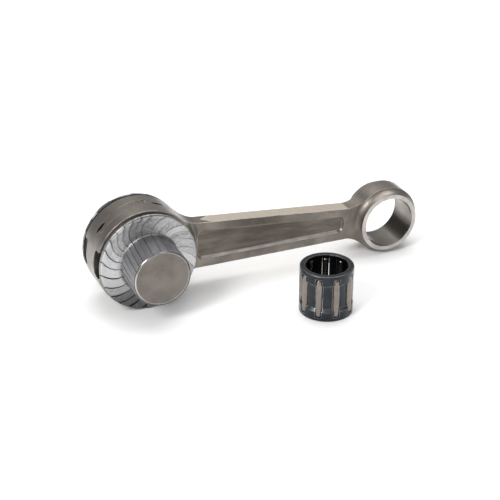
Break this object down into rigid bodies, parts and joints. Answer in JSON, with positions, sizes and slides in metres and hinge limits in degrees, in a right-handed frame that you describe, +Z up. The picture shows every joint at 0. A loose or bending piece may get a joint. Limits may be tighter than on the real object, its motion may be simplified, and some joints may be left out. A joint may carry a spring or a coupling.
{
  "type": "connecting rod",
  "caption": "Two-stroke connecting rod with an I-beam, a crank pin on rollers in its big end, wrapped thrust washers, and a small-end needle bearing standing beside it.",
  "frame": {"origin": "under the middle of the whole kit's box, on the surface that it rests on", "axes": "+X from the big end towards the small end, +Y along the crank pin towards the rear, +Z up"},
  "size_m": [0.1393, 0.0728, 0.04],
  "materials": {
    "forged_steel": "bead-blasted forging, brown-grey, with bright machined edges",
    "pin_steel": "ground and hardened",
    "washer_steel": "ground",
    "silver_film": "pleated metallised film",
    "cage_steel": "plain steel cage",
    "roller_steel": "polished rollers",
    "blued_cage_steel": "blue-black heat-treated cage",
    "needle_steel": "ground needles"
  },
  "bodies": {
    "connecting_rod": {"connecting_rod": "forged_steel"},
    "crank_pin": {"crank_pin": "pin_steel", "front_pin_wrap": "silver_film", "rear_pin_wrap": "silver_film"},
    "front_thrust_washer": {"front_thrust_washer": "washer_steel"},
    "rear_thrust_washer": {"rear_thrust_washer": "washer_steel"},
    "big_end_cage": {"big_end_cage": "cage_steel"},
    "small_end_cage": {"small_end_cage": "blued_cage_steel"},
    "big_end_roller_01": {"big_end_roller_01": "roller_steel"},
    "big_end_roller_02": {"big_end_roller_02": "roller_steel"},
    "big_end_roller_03": {"big_end_roller_03": "roller_steel"},
    "big_end_roller_04": {"big_end_roller_04": "roller_steel"},
    "big_end_roller_05": {"big_end_roller_05": "roller_steel"},
    "big_end_roller_06": {"big_end_roller_06": "roller_steel"},
    "big_end_roller_07": {"big_end_roller_07": "roller_steel"},
    "big_end_roller_08": {"big_end_roller_08": "roller_steel"},
    "big_end_roller_09": {"big_end_roller_09": "roller_steel"},
    "big_end_roller_10": {"big_end_roller_10": "roller_steel"},
    "big_end_roller_11": {"big_end_roller_11": "roller_steel"},
    "big_end_roller_12": {"big_end_roller_12": "roller_steel"},
    "big_end_roller_13": {"big_end_roller_13": "roller_steel"},
    "big_end_roller_14": {"big_end_roller_14": "roller_steel"},
    "small_end_needle_01": {"small_end_needle_01": "needle_steel"},
    "small_end_needle_02": {"small_end_needle_02": "needle_steel"},
    "small_end_needle_03": {"small_end_needle_03": "needle_steel"},
    "small_end_needle_04": {"small_end_needle_04": "needle_steel"},
    "small_end_needle_05": {"small_end_needle_05": "needle_steel"},
    "small_end_needle_06": {"small_end_needle_06": "needle_steel"},
    "small_end_needle_07": {"small_end_needle_07": "needle_steel"},
    "small_end_needle_08": {"small_end_needle_08": "needle_steel"},
    "small_end_needle_09": {"small_end_needle_09": "needle_steel"}
  },
  "joints": [
    {"name": "crank_pin_spin", "type": "hinge", "parent": "connecting_rod", "child": "crank_pin", "pos_m": [-0.04966, 0.0119, 0.02], "axis": [0, 1, 0], "continuous": true},
    {"name": "big_end_cage_spin", "type": "hinge", "parent": "connecting_rod", "child": "big_end_cage", "pos_m": [-0.04966, 0.0119, 0.02], "axis": [0, 1, 0], "continuous": true},
    {"name": "front_thrust_washer_spin", "type": "hinge", "parent": "crank_pin", "child": "front_thrust_washer", "pos_m": [-0.04966, 0.0035, 0.02], "axis": [0, 1, 0], "continuous": true},
    {"name": "rear_thrust_washer_spin", "type": "hinge", "parent": "crank_pin", "child": "rear_thrust_washer", "pos_m": [-0.04966, 0.0203, 0.02], "axis": [0, 1, 0], "continuous": true},
    {"name": "small_end_cage_spin", "type": "hinge", "parent": "connecting_rod", "child": "small_end_cage", "pos_m": [0.01174, -0.0259, 0.0096], "axis": [0, 0, 1], "continuous": true},
    {"name": "big_end_roller_01_spin", "type": "hinge", "parent": "big_end_cage", "child": "big_end_roller_01", "pos_m": [-0.03715, 0.0119, 0.01929], "axis": [0, 1, 0], "continuous": true},
    {"name": "big_end_roller_02_spin", "type": "hinge", "parent": "big_end_cage", "child": "big_end_roller_02", "pos_m": [-0.03808, 0.0119, 0.02479], "axis": [0, 1, 0], "continuous": true},
    {"name": "big_end_roller_03_spin", "type": "hinge", "parent": "big_end_cage", "child": "big_end_roller_03", "pos_m": [-0.04131, 0.0119, 0.02934], "axis": [0, 1, 0], "continuous": true},
    {"name": "big_end_roller_04_spin", "type": "hinge", "parent": "big_end_cage", "child": "big_end_roller_04", "pos_m": [-0.04619, 0.0119, 0.03204], "axis": [0, 1, 0], "continuous": true},
    {"name": "big_end_roller_05_spin", "type": "hinge", "parent": "big_end_cage", "child": "big_end_roller_05", "pos_m": [-0.05175, 0.0119, 0.03235], "axis": [0, 1, 0], "continuous": true},
    {"name": "big_end_roller_06_spin", "type": "hinge", "parent": "big_end_cage", "child": "big_end_roller_06", "pos_m": [-0.05691, 0.0119, 0.03022], "axis": [0, 1, 0], "continuous": true},
    {"name": "big_end_roller_07_spin", "type": "hinge", "parent": "big_end_cage", "child": "big_end_roller_07", "pos_m": [-0.06063, 0.0119, 0.02607], "axis": [0, 1, 0], "continuous": true},
    {"name": "big_end_roller_08_spin", "type": "hinge", "parent": "big_end_cage", "child": "big_end_roller_08", "pos_m": [-0.06217, 0.0119, 0.02071], "axis": [0, 1, 0], "continuous": true},
    {"name": "big_end_roller_09_spin", "type": "hinge", "parent": "big_end_cage", "child": "big_end_roller_09", "pos_m": [-0.06124, 0.0119, 0.01521], "axis": [0, 1, 0], "continuous": true},
    {"name": "big_end_roller_10_spin", "type": "hinge", "parent": "big_end_cage", "child": "big_end_roller_10", "pos_m": [-0.05802, 0.0119, 0.01066], "axis": [0, 1, 0], "continuous": true},
    {"name": "big_end_roller_11_spin", "type": "hinge", "parent": "big_end_cage", "child": "big_end_roller_11", "pos_m": [-0.05314, 0.0119, 0.00796], "axis": [0, 1, 0], "continuous": true},
    {"name": "big_end_roller_12_spin", "type": "hinge", "parent": "big_end_cage", "child": "big_end_roller_12", "pos_m": [-0.04758, 0.0119, 0.00765], "axis": [0, 1, 0], "continuous": true},
    {"name": "big_end_roller_13_spin", "type": "hinge", "parent": "big_end_cage", "child": "big_end_roller_13", "pos_m": [-0.04242, 0.0119, 0.00978], "axis": [0, 1, 0], "continuous": true},
    {"name": "big_end_roller_14_spin", "type": "hinge", "parent": "big_end_cage", "child": "big_end_roller_14", "pos_m": [-0.0387, 0.0119, 0.01393], "axis": [0, 1, 0], "continuous": true},
    {"name": "small_end_needle_01_spin", "type": "hinge", "parent": "small_end_cage", "child": "small_end_needle_01", "pos_m": [0.01109, -0.03513, 0.0096], "axis": [0, 0, 1], "continuous": true},
    {"name": "small_end_needle_02_spin", "type": "hinge", "parent": "small_end_cage", "child": "small_end_needle_02", "pos_m": [0.01717, -0.03338, 0.0096], "axis": [0, 0, 1], "continuous": true},
    {"name": "small_end_needle_03_spin", "type": "hinge", "parent": "small_end_cage", "child": "small_end_needle_03", "pos_m": [0.02071, -0.02814, 0.0096], "axis": [0, 0, 1], "continuous": true},
    {"name": "small_end_needle_04_spin", "type": "hinge", "parent": "small_end_cage", "child": "small_end_needle_04", "pos_m": [0.02005, -0.02185, 0.0096], "axis": [0, 0, 1], "continuous": true},
    {"name": "small_end_needle_05_spin", "type": "hinge", "parent": "small_end_cage", "child": "small_end_needle_05", "pos_m": [0.0155, -0.01745, 0.0096], "axis": [0, 0, 1], "continuous": true},
    {"name": "small_end_needle_06_spin", "type": "hinge", "parent": "small_end_cage", "child": "small_end_needle_06", "pos_m": [0.00919, -0.01701, 0.0096], "axis": [0, 0, 1], "continuous": true},
    {"name": "small_end_needle_07_spin", "type": "hinge", "parent": "small_end_cage", "child": "small_end_needle_07", "pos_m": [0.00407, -0.02073, 0.0096], "axis": [0, 0, 1], "continuous": true},
    {"name": "small_end_needle_08_spin", "type": "hinge", "parent": "small_end_cage", "child": "small_end_needle_08", "pos_m": [0.00254, -0.02687, 0.0096], "axis": [0, 0, 1], "continuous": true},
    {"name": "small_end_needle_09_spin", "type": "hinge", "parent": "small_end_cage", "child": "small_end_needle_09", "pos_m": [0.00531, -0.03255, 0.0096], "axis": [0, 0, 1], "continuous": true}
  ],
  "couplings": [
    {"joint": "big_end_cage_spin", "follows": "crank_pin_spin", "ratio": 0.44},
    {"joint": "big_end_roller_01_spin", "follows": "crank_pin_spin", "ratio": -4.1067},
    {"joint": "big_end_roller_02_spin", "follows": "crank_pin_spin", "ratio": -4.1067},
    {"joint": "big_end_roller_03_spin", "follows": "crank_pin_spin", "ratio": -4.1067},
    {"joint": "big_end_roller_04_spin", "follows": "crank_pin_spin", "ratio": -4.1067},
    {"joint": "big_end_roller_05_spin", "follows": "crank_pin_spin", "ratio": -4.1067},
    {"joint": "big_end_roller_06_spin", "follows": "crank_pin_spin", "ratio": -4.1067},
    {"joint": "big_end_roller_07_spin", "follows": "crank_pin_spin", "ratio": -4.1067},
    {"joint": "big_end_roller_08_spin", "follows": "crank_pin_spin", "ratio": -4.1067},
    {"joint": "big_end_roller_09_spin", "follows": "crank_pin_spin", "ratio": -4.1067},
    {"joint": "big_end_roller_10_spin", "follows": "crank_pin_spin", "ratio": -4.1067},
    {"joint": "big_end_roller_11_spin", "follows": "crank_pin_spin", "ratio": -4.1067},
    {"joint": "big_end_roller_12_spin", "follows": "crank_pin_spin", "ratio": -4.1067},
    {"joint": "big_end_roller_13_spin", "follows": "crank_pin_spin", "ratio": -4.1067},
    {"joint": "big_end_roller_14_spin", "follows": "crank_pin_spin", "ratio": -4.1067},
    {"joint": "small_end_needle_01_spin", "follows": "small_end_cage_spin", "ratio": -8.4},
    {"joint": "small_end_needle_02_spin", "follows": "small_end_cage_spin", "ratio": -8.4},
    {"joint": "small_end_needle_03_spin", "follows": "small_end_cage_spin", "ratio": -8.4},
    {"joint": "small_end_needle_04_spin", "follows": "small_end_cage_spin", "ratio": -8.4},
    {"joint": "small_end_needle_05_spin", "follows": "small_end_cage_spin", "ratio": -8.4},
    {"joint": "small_end_needle_06_spin", "follows": "small_end_cage_spin", "ratio": -8.4},
    {"joint": "small_end_needle_07_spin", "follows": "small_end_cage_spin", "ratio": -8.4},
    {"joint": "small_end_needle_08_spin", "follows": "small_end_cage_spin", "ratio": -8.4},
    {"joint": "small_end_needle_09_spin", "follows": "small_end_cage_spin", "ratio": -8.4}
  ]
}
